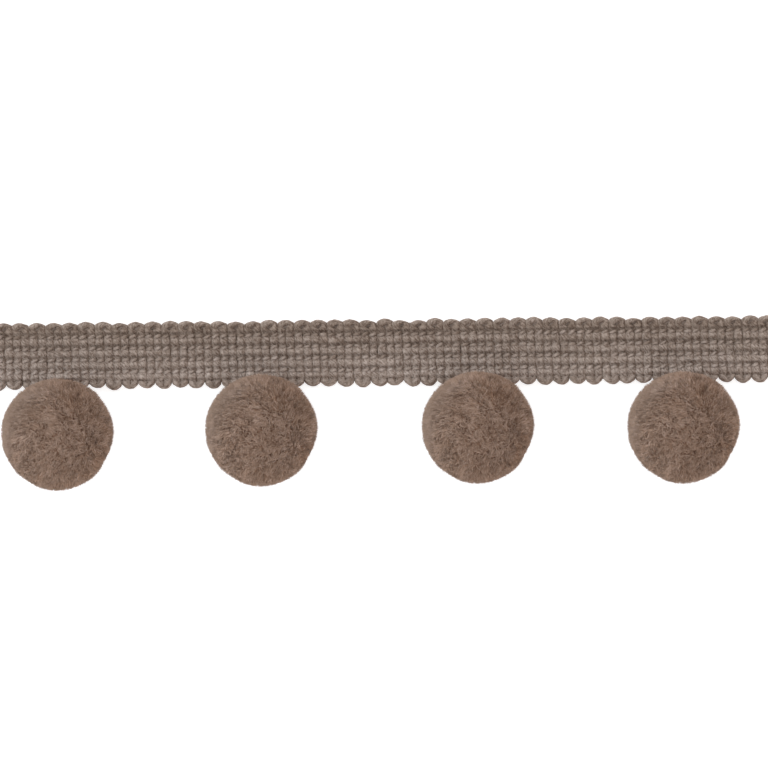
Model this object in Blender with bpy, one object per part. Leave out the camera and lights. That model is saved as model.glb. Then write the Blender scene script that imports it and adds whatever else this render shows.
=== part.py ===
"""Pompom fringe trim: a cut length of ribbed braid with cut-pile pompoms tied along its lower edge.

Metres, +Z up. The trim lies on its back on the plane z = 0. X runs along the braid, +Y points towards
its upper edge, and the pompoms lie past its lower edge, on the -Y side. The origin is the middle of the
braid's back.
"""

import math
import random
from collections import namedtuple

import bmesh
import bpy
from mathutils import Matrix, Vector

MM = 0.001
PIECE_GAP = 0.3 * MM

# Braid: each scallop is two turns of the filling yarn.
SCALLOP_PITCH = 3.689 * MM
SCALLOPS = 50
BRAID_WIDTH = 14.35 * MM
COLUMNS_PER_SCALLOP = 4
COLUMNS = SCALLOPS * COLUMNS_PER_SCALLOP
COLUMN_LEAN = 0.42 * MM
LOBE_UNEVENNESS = 0.1 * MM

# A pompom's tie pulls the braid's lower edge a little off the surface.
LIFT_HEIGHT = 0.8 * MM
LIFT_HALF_LENGTH = 10.0 * MM
LIFT_DEPTH = 5.0 * MM

# Pompoms: 300 locks in all.
POMPOM_RADIUS = 12.5 * MM
CENTRE_HEIGHT = 11.7 * MM
CORE_RADIUS = 9.0 * MM
SHOULDER_RADIUS = 11.8 * MM
TIP_RIM_RADIUS = 12.3 * MM
TIP_RIM_SHARE = 0.78
REST_SHOULDER_SHARE = 0.95
LOCK_GAP = 0.36 * MM
COLLAR_INSET = 0.6 * MM
LOCK_UNEVENNESS = 0.25 * MM
ROOT_DRIFT = 0.7 * MM

TIE_RADIUS = 0.55 * MM

# The braid's section from its upper to its lower edge: how far each line lies from the upper edge's
# mean line, its height at a notch between two scallops, its height at a scallop, and how far it
# follows the scallops of each edge.
Line = namedtuple("Line", "offset notch_height scallop_height follows_upper follows_lower")
SECTION = (
    Line(0.00 * MM, 1.00 * MM, 1.35 * MM, 1.0, 0.0),
    Line(1.30 * MM, 1.65 * MM, 2.20 * MM, 0.3, 0.0),
    Line(2.44 * MM, 1.70 * MM, 1.70 * MM, 0.0, 0.0),
    Line(3.78 * MM, 2.40 * MM, 2.40 * MM, 0.0, 0.0),
    Line(5.07 * MM, 1.70 * MM, 1.70 * MM, 0.0, 0.0),
    Line(6.38 * MM, 2.40 * MM, 2.40 * MM, 0.0, 0.0),
    Line(7.62 * MM, 1.70 * MM, 1.70 * MM, 0.0, 0.0),
    Line(8.96 * MM, 2.40 * MM, 2.40 * MM, 0.0, 0.0),
    Line(10.27 * MM, 1.70 * MM, 1.70 * MM, 0.0, 0.0),
    Line(11.54 * MM, 2.40 * MM, 2.40 * MM, 0.0, 0.0),
    Line(12.76 * MM, 1.70 * MM, 1.70 * MM, 0.0, 0.0),
    Line(13.55 * MM, 1.65 * MM, 2.15 * MM, 0.0, 0.4),
    Line(BRAID_WIDTH, 1.00 * MM, 1.35 * MM, 0.0, 1.0),
)

# How far each edge's scallops reach past its mean line, and how far its notches fall short of it.
Edge = namedtuple("Edge", "tip notch")
UPPER = Edge(0.27 * MM, 0.42 * MM)
LOWER = Edge(0.42 * MM, 0.71 * MM)

# Each pompom's place along the braid, how far its centre lies past the lower edge's mean line, and
# the turn of its locks about the tie.
Pompom = namedtuple("Pompom", "along past_edge turn")
POMPOMS = (
    Pompom(-69.5 * MM, 10.5 * MM, math.radians(8.0)),
    Pompom(-24.2 * MM, 10.0 * MM, math.radians(31.0)),
    Pompom(23.8 * MM, 9.8 * MM, math.radians(55.0)),
    Pompom(69.6 * MM, 10.2 * MM, math.radians(20.0)),
)

BRAID_COLOUR = (0.203, 0.156, 0.129)
PILE_COLOUR = (0.194, 0.127, 0.095)
TIE_COLOUR = (0.190, 0.140, 0.112)


def clear_scene():
    for thing in list(bpy.data.objects):
        bpy.data.objects.remove(thing, do_unlink=True)


def yarn_material(name, colour, roughness):
    material = bpy.data.materials.new(name)
    material.use_nodes = True
    shader = material.node_tree.nodes["Principled BSDF"]
    shader.inputs["Base Color"].default_value = (*colour, 1.0)
    shader.inputs["Roughness"].default_value = roughness
    shader.inputs["Metallic"].default_value = 0.0
    return material


def add_mesh_object(name, bm, material, collection):
    mesh = bpy.data.meshes.new(name)
    bm.to_mesh(mesh)
    bm.free()
    mesh.materials.append(material)
    piece = bpy.data.objects.new(name, mesh)
    collection.objects.link(piece)
    return piece


def smooth_step(share):
    share = min(max(share, 0.0), 1.0)
    return share * share * (3.0 - 2.0 * share)


def lobe_variations(seed):
    """How much further than usual each scallop of an edge reaches."""
    draw = random.Random(seed)
    return [draw.uniform(-LOBE_UNEVENNESS, LOBE_UNEVENNESS) for _ in range(SCALLOPS + 1)]


UPPER_VARIATIONS = lobe_variations(3)
LOWER_VARIATIONS = lobe_variations(7)


def scallop_share(column, edge):
    """0 at a notch and 1 at the tip of a scallop. The upper scallops stand over the lower notches."""
    turn = math.pi * column / COLUMNS_PER_SCALLOP
    return abs(math.sin(turn)) if edge is LOWER else abs(math.cos(turn))


def edge_reach(column, edge):
    """How far the edge reaches past its mean line at a column, measured away from the braid."""
    share = scallop_share(column, edge)
    if edge is LOWER:
        extra = LOWER_VARIATIONS[min(column // COLUMNS_PER_SCALLOP, SCALLOPS - 1)]
    else:
        extra = UPPER_VARIATIONS[(column + COLUMNS_PER_SCALLOP // 2) // COLUMNS_PER_SCALLOP]
    return share * (edge.tip + edge.notch + extra) - edge.notch


def column_x(column, y):
    """The columns lean a little: their lower ends lie further along +X."""
    along = (column - COLUMNS / 2) * SCALLOP_PITCH / COLUMNS_PER_SCALLOP
    return along - COLUMN_LEAN * y / BRAID_WIDTH


def lift(x, y):
    """How far the braid's lower edge is pulled off the surface beside the pompoms."""
    above_edge = (y + BRAID_WIDTH / 2) / LIFT_DEPTH
    across = smooth_step(1.0 - above_edge)
    nearest = min(abs(x - pompom.along) for pompom in POMPOMS)
    return LIFT_HEIGHT * across * smooth_step(1.0 - nearest / LIFT_HALF_LENGTH)


def section_y(line, column):
    y = BRAID_WIDTH / 2 - line.offset
    y += line.follows_upper * edge_reach(column, UPPER)
    return y - line.follows_lower * edge_reach(column, LOWER)


def section_height(line, column):
    edge = UPPER if line.offset < BRAID_WIDTH / 2 else LOWER
    share = scallop_share(column, edge)
    return line.notch_height + share * (line.scallop_height - line.notch_height)


def make_band(material, collection):
    """A flat-backed sheet: its ribs and scallops are raised in the points of the upper face."""
    last_line = len(SECTION) - 1
    bm = bmesh.new()
    bmesh.ops.create_grid(bm, x_segments=COLUMNS, y_segments=last_line, size=1.0)
    back = list(bm.verts)
    grown = bmesh.ops.extrude_face_region(bm, geom=bm.faces[:])["geom"]
    face = [item for item in grown if isinstance(item, bmesh.types.BMVert)]
    for points, raised in ((back, 0.0), (face, 1.0)):
        for point in points:
            column = round((point.co.x + 1.0) / 2.0 * COLUMNS)
            line = SECTION[round((1.0 - point.co.y) / 2.0 * last_line)]
            y = section_y(line, column)
            x = column_x(column, y)
            point.co = (x, y, lift(x, y) + raised * section_height(line, column))
    bmesh.ops.recalc_face_normals(bm, faces=bm.faces[:])
    return add_mesh_object("band", bm, material, collection)


def pompom_centre(pompom):
    return Vector((pompom.along, -BRAID_WIDTH / 2 - pompom.past_edge, CENTRE_HEIGHT))


def tie_start(pompom):
    """Where a tie leaves the braid: just off the tip of the scallop nearest to the pompom."""
    edge_y = -BRAID_WIDTH / 2
    middle = column_x(0, edge_y)
    scallop = round((pompom.along - middle) / SCALLOP_PITCH - 0.5)
    column = int((scallop + 0.5) * COLUMNS_PER_SCALLOP)
    y = edge_y - edge_reach(column, LOWER)
    x = column_x(column, y)
    return Vector((x, y - PIECE_GAP, lift(x, y) + SECTION[-1].scallop_height / 2))


def scatter_roots(bm, pole, draw):
    """Moves the corners of the core's faces about a little, so that the locks' rows aren't straight."""
    for point in bm.verts:
        if point is not pole:
            drift = Vector([draw.uniform(-ROOT_DRIFT, ROOT_DRIFT) for _ in range(3)])
            point.co = (point.co + drift).normalized() * CORE_RADIUS


def collar_faces(bm, pole):
    """Joins each face at the tie to its outer neighbour, and returns those four-sided faces."""
    outer = [
        edge
        for face in pole.link_faces
        for edge in face.edges
        if pole not in edge.verts
    ]
    bmesh.ops.dissolve_edges(bm, edges=outer)
    return list(pole.link_faces)


def reach_at(direction, radius):
    """A lock over the surface is built shorter, so that its tip rests level on it."""
    if direction.z >= 0.0:
        return radius
    return min(radius, CENTRE_HEIGHT / -direction.z)


def grow_locks(bm, locks, draw):
    """Extrudes each face of the core into a lock with sloping sides and a domed tip."""
    for shoulder in bmesh.ops.extrude_discrete_faces(bm, faces=locks)["faces"]:
        longer = draw.uniform(-LOCK_UNEVENNESS, LOCK_UNEVENNESS)
        shoulder_tip = SHOULDER_RADIUS + longer
        rim_tip = TIP_RIM_RADIUS + longer
        for point in shoulder.verts:
            direction = point.co.normalized()
            limit = reach_at(direction, POMPOM_RADIUS) * REST_SHOULDER_SHARE
            point.co = direction * min(shoulder_tip, limit)
        rim = bmesh.ops.extrude_discrete_faces(bm, faces=[shoulder])["faces"][0]
        middle = rim.calc_center_median().normalized()
        for point in rim.verts:
            direction = middle.lerp(point.co.normalized(), TIP_RIM_SHARE).normalized()
            point.co = direction * reach_at(direction, rim_tip)
        crown = bmesh.ops.poke(bm, faces=[rim])["verts"][0]
        crown.co = middle * reach_at(middle, min(POMPOM_RADIUS, rim_tip + LOCK_UNEVENNESS))


def make_pompom(number, pompom, material, collection):
    """A ball of three- and four-sided locks, whose roots are fused into its core."""
    centre = pompom_centre(pompom)
    axis = (tie_start(pompom) - centre).normalized()
    draw = random.Random(number)
    bm = bmesh.new()
    bmesh.ops.create_icosphere(bm, subdivisions=2, radius=CORE_RADIUS)
    aim = axis.to_track_quat("Z", "Y").to_matrix().to_4x4()
    bmesh.ops.transform(bm, matrix=aim @ Matrix.Rotation(pompom.turn, 4, "Z"), verts=bm.verts[:])
    pole = max(bm.verts, key=lambda point: point.co.dot(axis))
    scatter_roots(bm, pole, draw)
    collar = collar_faces(bm, pole)
    others = [face for face in bm.faces if face not in collar]
    locks = collar + others
    bmesh.ops.inset_individual(bm, faces=collar, thickness=COLLAR_INSET, use_even_offset=True)
    bmesh.ops.inset_individual(bm, faces=others, thickness=LOCK_GAP / 2, use_even_offset=True)
    grow_locks(bm, locks, draw)
    bmesh.ops.recalc_face_normals(bm, faces=bm.faces[:])
    piece = add_mesh_object(f"pompom_{number}", bm, material, collection)
    piece.location = centre
    return piece


def make_tie(number, pompom, material, collection):
    """A straight thread bundle from the braid's edge to the core of the pompom."""
    start = tie_start(pompom)
    centre = pompom_centre(pompom)
    end = centre + (start - centre).normalized() * (CORE_RADIUS + PIECE_GAP)
    curve = bpy.data.curves.new(f"tie_{number}", "CURVE")
    curve.dimensions = "3D"
    curve.bevel_depth = TIE_RADIUS
    curve.bevel_resolution = 2
    curve.use_fill_caps = True
    route = curve.splines.new("POLY")
    route.points.add(1)
    for point, place in zip(route.points, (start, end)):
        point.co = (*place, 1.0)
    curve.materials.append(material)
    piece = bpy.data.objects.new(f"tie_{number}", curve)
    collection.objects.link(piece)
    return piece


def main():
    clear_scene()
    collection = bpy.data.collections.new("pompom_fringe_trim")
    bpy.context.scene.collection.children.link(collection)
    braid_yarn = yarn_material("braid_yarn", BRAID_COLOUR, 0.85)
    pompom_pile = yarn_material("pompom_pile", PILE_COLOUR, 0.95)
    tie_thread = yarn_material("tie_thread", TIE_COLOUR, 0.85)
    make_band(braid_yarn, collection)
    for number, pompom in enumerate(POMPOMS, start=1):
        make_pompom(number, pompom, pompom_pile, collection)
        make_tie(number, pompom, tie_thread, collection)


main()
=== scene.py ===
"""Looks of the pompom fringe trim: braid yarns, chain stitches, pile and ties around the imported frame."""
import math
from collections import namedtuple

import bpy
import numpy as np
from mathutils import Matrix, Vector
from mathutils.kdtree import KDTree


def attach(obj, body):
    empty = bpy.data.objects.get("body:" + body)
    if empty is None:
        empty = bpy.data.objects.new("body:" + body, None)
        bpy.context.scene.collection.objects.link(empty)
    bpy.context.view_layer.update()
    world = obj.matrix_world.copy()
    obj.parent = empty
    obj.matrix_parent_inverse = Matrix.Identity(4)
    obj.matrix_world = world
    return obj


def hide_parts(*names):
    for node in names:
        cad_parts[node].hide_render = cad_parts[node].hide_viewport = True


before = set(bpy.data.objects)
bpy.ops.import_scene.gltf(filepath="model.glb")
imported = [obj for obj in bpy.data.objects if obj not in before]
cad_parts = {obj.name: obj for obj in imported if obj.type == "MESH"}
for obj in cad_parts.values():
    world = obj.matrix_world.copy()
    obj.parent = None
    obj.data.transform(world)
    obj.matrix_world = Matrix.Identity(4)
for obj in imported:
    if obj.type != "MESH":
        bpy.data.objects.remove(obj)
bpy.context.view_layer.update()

MM = 0.001

# The photo's frame, and how the trim lies in it.
FRAME_PIXELS = 768
PIXEL = 0.2222 * MM
TRIM_TILT = math.radians(0.61)
BRAID_MIDDLE_PIXEL = (369.5, 352.3)

# Sizes of the braid, which are those of its solid. The columns lean to the left by COLUMN_LEAN from the
# lower edge to the upper one. The lower edge is lifted beside each pompom, by LIFT_HEIGHT at most, over
# LIFT_HALF_LENGTH to both sides and LIFT_DEPTH into the braid. The grooves lie below the upper edge.
SCALLOP_PITCH = 3.689 * MM
COLUMN_PITCH = SCALLOP_PITCH / 2
COLUMNS = 100
BRAID_WIDTH = 14.35 * MM
COLUMN_LEAN = 0.42 * MM
LIFT_HEIGHT = 0.8 * MM
LIFT_HALF_LENGTH = 10.0 * MM
LIFT_DEPTH = 5.0 * MM
GROOVES = (2.44 * MM, 5.07 * MM, 7.62 * MM, 10.27 * MM, 12.76 * MM)

# Pompoms: the height of their centres, their full radius and that of the core in their solids. Each
# place is 0.1 to 0.2 mm off its solid's, so that the outline meets the photo's through the lens.
CENTRE_HEIGHT = 11.7 * MM
POMPOM_RADIUS = 12.5 * MM
CORE_RADIUS = 9.0 * MM
Pompom = namedtuple("Pompom", "along past_edge")
POMPOMS = (
    Pompom(-69.32 * MM, 10.4 * MM),
    Pompom(-24.1 * MM, 9.94 * MM),
    Pompom(23.91 * MM, 9.83 * MM),
    Pompom(69.5 * MM, 10.3 * MM),
)


def pompom_centre(pompom):
    return np.array((pompom.along, -BRAID_WIDTH / 2 - pompom.past_edge, CENTRE_HEIGHT))


# --- camera, floor and light -------------------------------------------------------------------

# The camera looks straight down from far away. A pixel is PIXEL wide at SCALE_HEIGHT.
CAMERA_LENS = 500.0
CAMERA_SENSOR = 36.0
CLIP_START = 0.05
CLIP_END = 20.0
SCALE_HEIGHT = 6.0 * MM


def make_camera():
    data = bpy.data.cameras.new("camera")
    data.lens = CAMERA_LENS
    data.sensor_width = CAMERA_SENSOR
    data.clip_start = CLIP_START
    data.clip_end = CLIP_END
    camera = bpy.data.objects.new("camera", data)
    bpy.context.scene.collection.objects.link(camera)
    right = (FRAME_PIXELS / 2 - BRAID_MIDDLE_PIXEL[0]) * PIXEL
    down = (FRAME_PIXELS / 2 - BRAID_MIDDLE_PIXEL[1]) * PIXEL
    cosine = math.cos(TRIM_TILT)
    sine = math.sin(TRIM_TILT)
    distance = FRAME_PIXELS * PIXEL * CAMERA_LENS / CAMERA_SENSOR
    x = right * cosine - down * sine
    y = -right * sine - down * cosine
    camera.location = (x, y, SCALE_HEIGHT + distance)
    camera.rotation_euler = (0.0, 0.0, -TRIM_TILT)
    bpy.context.scene.camera = camera


# The floor and the sky together come out as white as the photo's background.
WHITE = (1.0, 1.0, 1.0, 1.0)
FLOOR_HALF_SIZE = 4.0
FLOOR_COLOUR = (0.6, 0.6, 0.6, 1.0)
FLOOR_ROUGHNESS = 0.9
FLOOR_GLOW = 0.72
SKY_STRENGTH = 0.87


def make_floor():
    mesh = bpy.data.meshes.new("floor")
    half = FLOOR_HALF_SIZE
    corners = [(-half, -half, 0), (half, -half, 0), (half, half, 0), (-half, half, 0)]
    mesh.from_pydata(corners, [], [(0, 1, 2, 3)])
    floor = bpy.data.objects.new("floor", mesh)
    bpy.context.scene.collection.objects.link(floor)
    material = bpy.data.materials.new("pale_floor")
    material.use_nodes = True
    shader = material.node_tree.nodes["Principled BSDF"]
    shader.inputs["Base Color"].default_value = FLOOR_COLOUR
    shader.inputs["Roughness"].default_value = FLOOR_ROUGHNESS
    shader.inputs["Emission Color"].default_value = WHITE
    shader.inputs["Emission Strength"].default_value = FLOOR_GLOW
    mesh.materials.append(material)


def make_sky():
    world = bpy.data.worlds.new("studio")
    world.use_nodes = True
    background = world.node_tree.nodes["Background"]
    background.inputs["Color"].default_value = WHITE
    background.inputs["Strength"].default_value = SKY_STRENGTH
    bpy.context.scene.world = world
    bpy.context.scene.view_settings.view_transform = "Standard"


# The key light: a wide, slightly blue disk to the left of the trim.
KEY_PLACE = (-1.24, 0.1, 0.94)
KEY_SIZE = 1.5
KEY_POWER = 7.4
KEY_COLOUR = (0.75, 0.94, 1.08)


def make_key_light():
    data = bpy.data.lights.new("key", "AREA")
    data.shape = "DISK"
    data.size = KEY_SIZE
    data.energy = KEY_POWER
    data.color = KEY_COLOUR
    light = bpy.data.objects.new("key", data)
    light.location = KEY_PLACE
    light.rotation_euler = (-Vector(KEY_PLACE)).to_track_quat("-Z", "Y").to_euler()
    light.visible_camera = False
    bpy.context.scene.collection.objects.link(light)


# --- mesh and material helpers -----------------------------------------------------------------


def mesh_object(name, points, face_sets, material, numbers=None, uv=None, normals=None):
    """A mesh from arrays: face_sets are arrays of corners, numbers are named values at the points."""
    mesh = bpy.data.meshes.new(name)
    corners = np.concatenate([faces.ravel() for faces in face_sets]).astype(np.int32)
    sizes = np.concatenate([np.full(len(faces), faces.shape[1]) for faces in face_sets])
    starts = np.concatenate([[0], np.cumsum(sizes)[:-1]]).astype(np.int32)
    mesh.vertices.add(len(points))
    mesh.vertices.foreach_set("co", points.astype(np.float32).ravel())
    mesh.loops.add(len(corners))
    mesh.loops.foreach_set("vertex_index", corners)
    mesh.polygons.add(len(sizes))
    mesh.polygons.foreach_set("loop_start", starts)
    mesh.update(calc_edges=True)
    for title, values in (numbers or {}).items():
        attribute = mesh.attributes.new(title, "FLOAT", "POINT")
        attribute.data.foreach_set("value", values.astype(np.float32))
    if uv is not None:
        layer = mesh.uv_layers.new(name="yarn")
        layer.data.foreach_set("uv", uv.astype(np.float32).ravel())
    mesh.validate()
    mesh.shade_smooth()
    if normals is not None:
        mesh.normals_split_custom_set_from_vertices(normals.tolist())
    mesh.materials.append(material)
    piece = bpy.data.objects.new(name, mesh)
    bpy.context.scene.collection.objects.link(piece)
    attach(piece, "root")
    return piece


# All materials of the trim shine half as much as is usual.
SHINE = 0.25


class Graph:
    """A material's nodes, made and joined in few words."""

    def __init__(self, name, roughness):
        self.material = bpy.data.materials.new(name)
        self.material.use_nodes = True
        self.tree = self.material.node_tree
        self.shader = self.tree.nodes["Principled BSDF"]
        self.shader.inputs["Roughness"].default_value = roughness
        self.shader.inputs["Specular IOR Level"].default_value = SHINE

    def join(self, value, socket):
        if isinstance(value, bpy.types.NodeSocket):
            self.tree.links.new(value, socket)
        else:
            socket.default_value = value

    def node(self, kind, **inputs):
        made = self.tree.nodes.new(kind)
        for title, value in inputs.items():
            self.join(value, made.inputs[title])
        return made

    def maths(self, operation, first, second):
        made = self.tree.nodes.new("ShaderNodeMath")
        made.operation = operation
        self.join(first, made.inputs[0])
        self.join(second, made.inputs[1])
        return made.outputs[0]

    def place(self):
        return self.node("ShaderNodeTexCoord").outputs["Object"]

    def stored(self, title):
        """A number that the mesh holds at its points."""
        made = self.tree.nodes.new("ShaderNodeAttribute")
        made.attribute_name = title
        return made.outputs["Fac"]

    def noise(self, vector, scale, detail):
        return self.node("ShaderNodeTexNoise", Vector=vector, Scale=scale, Detail=detail).outputs["Fac"]

    def spread(self, value, old_range, new_range):
        """The value, moved from the old range to the new one and kept within it."""
        made = self.tree.nodes.new("ShaderNodeMapRange")
        self.join(value, made.inputs["Value"])
        made.inputs["From Min"].default_value = old_range[0]
        made.inputs["From Max"].default_value = old_range[1]
        made.inputs["To Min"].default_value = new_range[0]
        made.inputs["To Max"].default_value = new_range[1]
        return made.outputs["Result"]

    def blend(self, share, first, second, kind="MIX"):
        made = self.tree.nodes.new("ShaderNodeMix")
        made.data_type = "RGBA"
        made.blend_type = kind
        self.join(share, made.inputs["Factor"])
        self.join(first, made.inputs["A"])
        self.join(second, made.inputs["B"])
        return made.outputs["Result"]

    def warm(self, value, redder, bluer):
        """The value as a colour that is warmer where it is dark and cooler where it is bright."""
        red = self.maths("POWER", value, 1.0 - redder)
        blue = self.maths("POWER", value, 1.0 + bluer)
        return self.node("ShaderNodeCombineColor", Red=red, Green=value, Blue=blue).outputs[0]

    def set_colour(self, colour, shade):
        """Gives the surface the colour times the shade."""
        self.join(self.blend(1.0, colour, shade, "MULTIPLY"), self.shader.inputs["Base Color"])

    def set_bump(self, height, distance):
        made = self.node("ShaderNodeBump", Height=height, Distance=distance)
        self.join(made.outputs["Normal"], self.shader.inputs["Normal"])

    def set_sheen(self, weight, roughness, tint):
        self.shader.inputs["Sheen Weight"].default_value = weight
        self.shader.inputs["Sheen Roughness"].default_value = roughness
        self.shader.inputs["Sheen Tint"].default_value = tint


def linear_level(level):
    """One level of a colour made linear, by the formula of sRGB."""
    part = level / 255.0
    if part > 0.04045:
        return ((part + 0.055) / 1.055) ** 2.4
    return part / 12.92


def linear(red, green, blue):
    """A colour given in 0 to 255 steps, as a linear colour."""
    return (linear_level(red), linear_level(green), linear_level(blue), 1.0)


# A yarn's two tones, how thick its filaments are and how deep its surface is.
YarnLook = namedtuple("YarnLook", "name light dark filament depth")
WEFT_LOOK = YarnLook("weft_yarn", linear(202, 185, 174), linear(129, 110, 98), 0.4 * MM, 0.3 * MM)
CHAIN_LOOK = YarnLook("chain_yarn", linear(203, 186, 175), linear(151, 132, 120), 0.3 * MM, 0.2 * MM)
GROUND_LOOK = YarnLook("ground_yarn", linear(140, 121, 108), linear(112, 94, 82), 0.4 * MM, 0.1 * MM)
TIE_LOOK = YarnLook("tie_yarn", linear(176, 156, 143), linear(120, 102, 90), 0.2 * MM, 0.1 * MM)

# All yarns: the girth that their maps stand for, how far the filaments wander and by what noise, how
# fast the streaks change along them, how much of the tone is streaks and how much is flecks, over what
# range of it the yarn goes from dark to light, and how much warmer the dark is.
YARN_GIRTH = 6.4 * MM
FILAMENT_WANDER = (-0.4 * MM, 0.4 * MM)
WANDER_SCALE = 900.0
STREAK_CHANGE = 0.3
STREAK_SHARE = 0.8
FLECK_SHARE = 0.2
FLECK_SCALE = 3600.0
YARN_TONE_RANGE = (0.37, 0.63)
YARN_WARMTH = 0.15

FULL_RANGE = (0.0, 1.0)


def yarn_material(look):
    """Spun yarn: filaments run aslant round it, in streaks of two tones, times the painted light and shade
    that its points hold, which is darker in the hollows.
    """
    graph = Graph(look.name, roughness=0.8)
    uv = graph.node("ShaderNodeUVMap")
    uv.uv_map = "yarn"
    parts = graph.node("ShaderNodeSeparateXYZ", Vector=uv.outputs["UV"])
    along = parts.outputs["X"]
    around = graph.maths("MULTIPLY", parts.outputs["Y"], YARN_GIRTH)
    wander = graph.noise(graph.place(), WANDER_SCALE, detail=2.0)
    wander = graph.spread(wander, FULL_RANGE, FILAMENT_WANDER)
    across = graph.maths("ADD", graph.maths("ADD", along, around), wander)
    down = graph.maths("SUBTRACT", along, around)
    streak_place = graph.node(
        "ShaderNodeCombineXYZ",
        X=graph.maths("MULTIPLY", across, 1.0 / look.filament),
        Y=graph.maths("MULTIPLY", down, STREAK_CHANGE / look.filament),
        Z=graph.stored("shade"),
    ).outputs[0]
    streak = graph.noise(streak_place, 1.0, detail=2.0)
    fleck = graph.noise(graph.place(), FLECK_SCALE, detail=1.0)
    streak_tone = graph.maths("MULTIPLY", streak, STREAK_SHARE)
    fleck_tone = graph.maths("MULTIPLY", fleck, FLECK_SHARE)
    tone = graph.spread(graph.maths("ADD", streak_tone, fleck_tone), YARN_TONE_RANGE, FULL_RANGE)
    # The stored shade is painted light and shade, made warmer where it is dark.
    shade = graph.warm(graph.stored("shade"), YARN_WARMTH, YARN_WARMTH)
    graph.set_colour(graph.blend(tone, look.dark, look.light), shade)
    graph.set_bump(streak, look.depth)
    graph.set_sheen(weight=0.1, roughness=0.5, tint=linear(205, 185, 170))
    return graph.material


# The pile: its colours from the roots, darkened there as painted shade deep in the pile, to the ends,
# and with a painted sheen on the side smoothed by brushing, the parts of a fibre over which they blend,
# how far the fibres, wide patches and small flecks go down and up in brightness, and how much redder
# and less blue the dark is.
PILE_SHADED_ROOT = linear(162.5, 133.5, 115)
PILE_MIDDLE = linear(187.5, 155, 134.5)
PILE_END = linear(193.5, 161, 141.5)
PILE_SHEEN = linear(188, 157.5, 138)
ROOT_TO_MIDDLE = (0.0, 0.75)
MIDDLE_TO_END = (0.7, 1.0)
FIBRE_SHADES = (0.6, 1.34)
PATCH_SCALE = 260.0
PATCH_SHADES = (-0.06, 0.06)
PILE_FLECK_SCALE = 2000.0
PILE_FLECK_SHADES = (-0.135, 0.135)
NOISE_RANGE = (0.3, 0.7)
PILE_REDDER = 0.21
PILE_BLUER = 0.22


def pile_material():
    """Cut pile: painted shade at the roots and paler at the ends, with a painted sheen on one side, in
    fibres, patches and flecks of many tones.
    """
    graph = Graph("pompom_pile", roughness=0.9)
    tip = graph.stored("tip")
    colour = graph.blend(graph.spread(tip, ROOT_TO_MIDDLE, FULL_RANGE), PILE_SHADED_ROOT, PILE_MIDDLE)
    colour = graph.blend(graph.spread(tip, MIDDLE_TO_END, FULL_RANGE), colour, PILE_END)
    # Painted sheen: paler and greyer on the side that the light falls on.
    colour = graph.blend(graph.stored("painted_sheen"), colour, PILE_SHEEN)
    fibre = graph.spread(graph.stored("fibre"), FULL_RANGE, FIBRE_SHADES)
    patch = graph.noise(graph.place(), PATCH_SCALE, detail=3.0)
    patch = graph.spread(patch, NOISE_RANGE, PATCH_SHADES)
    fleck = graph.noise(graph.place(), PILE_FLECK_SCALE, detail=2.0)
    fleck = graph.spread(fleck, NOISE_RANGE, PILE_FLECK_SHADES)
    shade = graph.maths("ADD", graph.maths("ADD", fibre, patch), fleck)
    graph.set_colour(colour, graph.warm(shade, PILE_REDDER, PILE_BLUER))
    graph.set_sheen(weight=0.04, roughness=0.4, tint=linear(200, 165, 143))
    return graph.material


# --- yarns swept along a path ------------------------------------------------------------------


def through_stops(stops, steps):
    """A smooth curve through rows of numbers: Catmull-Rom, with steps points for each pair of stops."""
    longer = np.vstack([2 * stops[:1] - stops[1:2], stops, 2 * stops[-1:] - stops[-2:-1]])
    share = (np.arange(steps) / steps)[None, :, None]
    before, start, end, after = (longer[at : len(longer) - 3 + at, None, :] for at in range(4))
    square = 2 * before - 5 * start + 4 * end - after
    cube = 3 * (start - end) + after - before
    curve = start + 0.5 * share * (end - before + share * (square + share * cube))
    return np.vstack([curve.reshape(-1, stops.shape[1]), stops[-1:]])


def spaced_evenly(rows, middle, step):
    """The rows again, evenly spaced along their middle line, with the distance along it."""
    gaps = np.linalg.norm(np.diff(middle, axis=0), axis=1)
    run = np.concatenate([[0.0], np.cumsum(gaps)])
    at = np.linspace(0.0, run[-1], int(run[-1] / step) + 1)
    return np.stack([np.interp(at, run, column) for column in rows.T], axis=1), at


# How many radians a wave of the soft noise turns within its reach, as a rule.
WAVE_TURN = 3.6


def soft_noise(points, reach, waves, draw):
    """A smooth random value at each point, from sine waves that run in random directions."""
    total = np.zeros(len(points))
    for _ in range(waves):
        direction = draw.normal(0.0, 1.0, 3) * WAVE_TURN / reach
        total += np.sin(points @ direction + draw.uniform(0.0, 2.0 * math.pi))
    return total / math.sqrt(waves)


def unit(rows):
    """The rows made 1 long."""
    return rows / np.linalg.norm(rows, axis=1)[:, None]


Twist = namedtuple("Twist", "plies depth pitch")
Yarn = namedtuple("Yarn", "points quads ends quad_map end_map")

# 1 gives elliptical yarns; more leaves them narrower in the crown.
ROUNDNESS = 1.06
# The waves that roughen a yarn.
ROUGH_REACH = 0.7 * MM
ROUGH_WAVES = 12


def yarn_faces(count, sides):
    """The quads between a yarn's rings, and the two faces that close its ends."""
    ring = np.arange(sides)
    following = (ring + 1) % sides
    first = (np.arange(count - 1) * sides)[:, None]
    corners = [first + ring, first + following, first + sides + following, first + sides + ring]
    ends = np.vstack([ring[::-1], ring + (count - 1) * sides])
    return np.stack(corners, axis=-1).reshape(-1, 4), ends


def yarn_map(run, sides):
    """The maps of a yarn's quads and ends: the distance along it, and the share of the way round."""
    ring = np.arange(sides)
    quad_map = np.empty((len(run) - 1, sides, 4, 2))
    quad_map[..., 0] = run[:-1, None, None]
    quad_map[..., 2:, 0] = run[1:, None, None]
    quad_map[..., 0, 1] = quad_map[..., 3, 1] = ring / sides
    quad_map[..., 1, 1] = quad_map[..., 2, 1] = (ring + 1) / sides
    end_map = np.stack([np.full(2 * sides, run[0]), np.tile(ring / sides, 2)], axis=1)
    return quad_map.reshape(-1, 2), end_map


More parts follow.
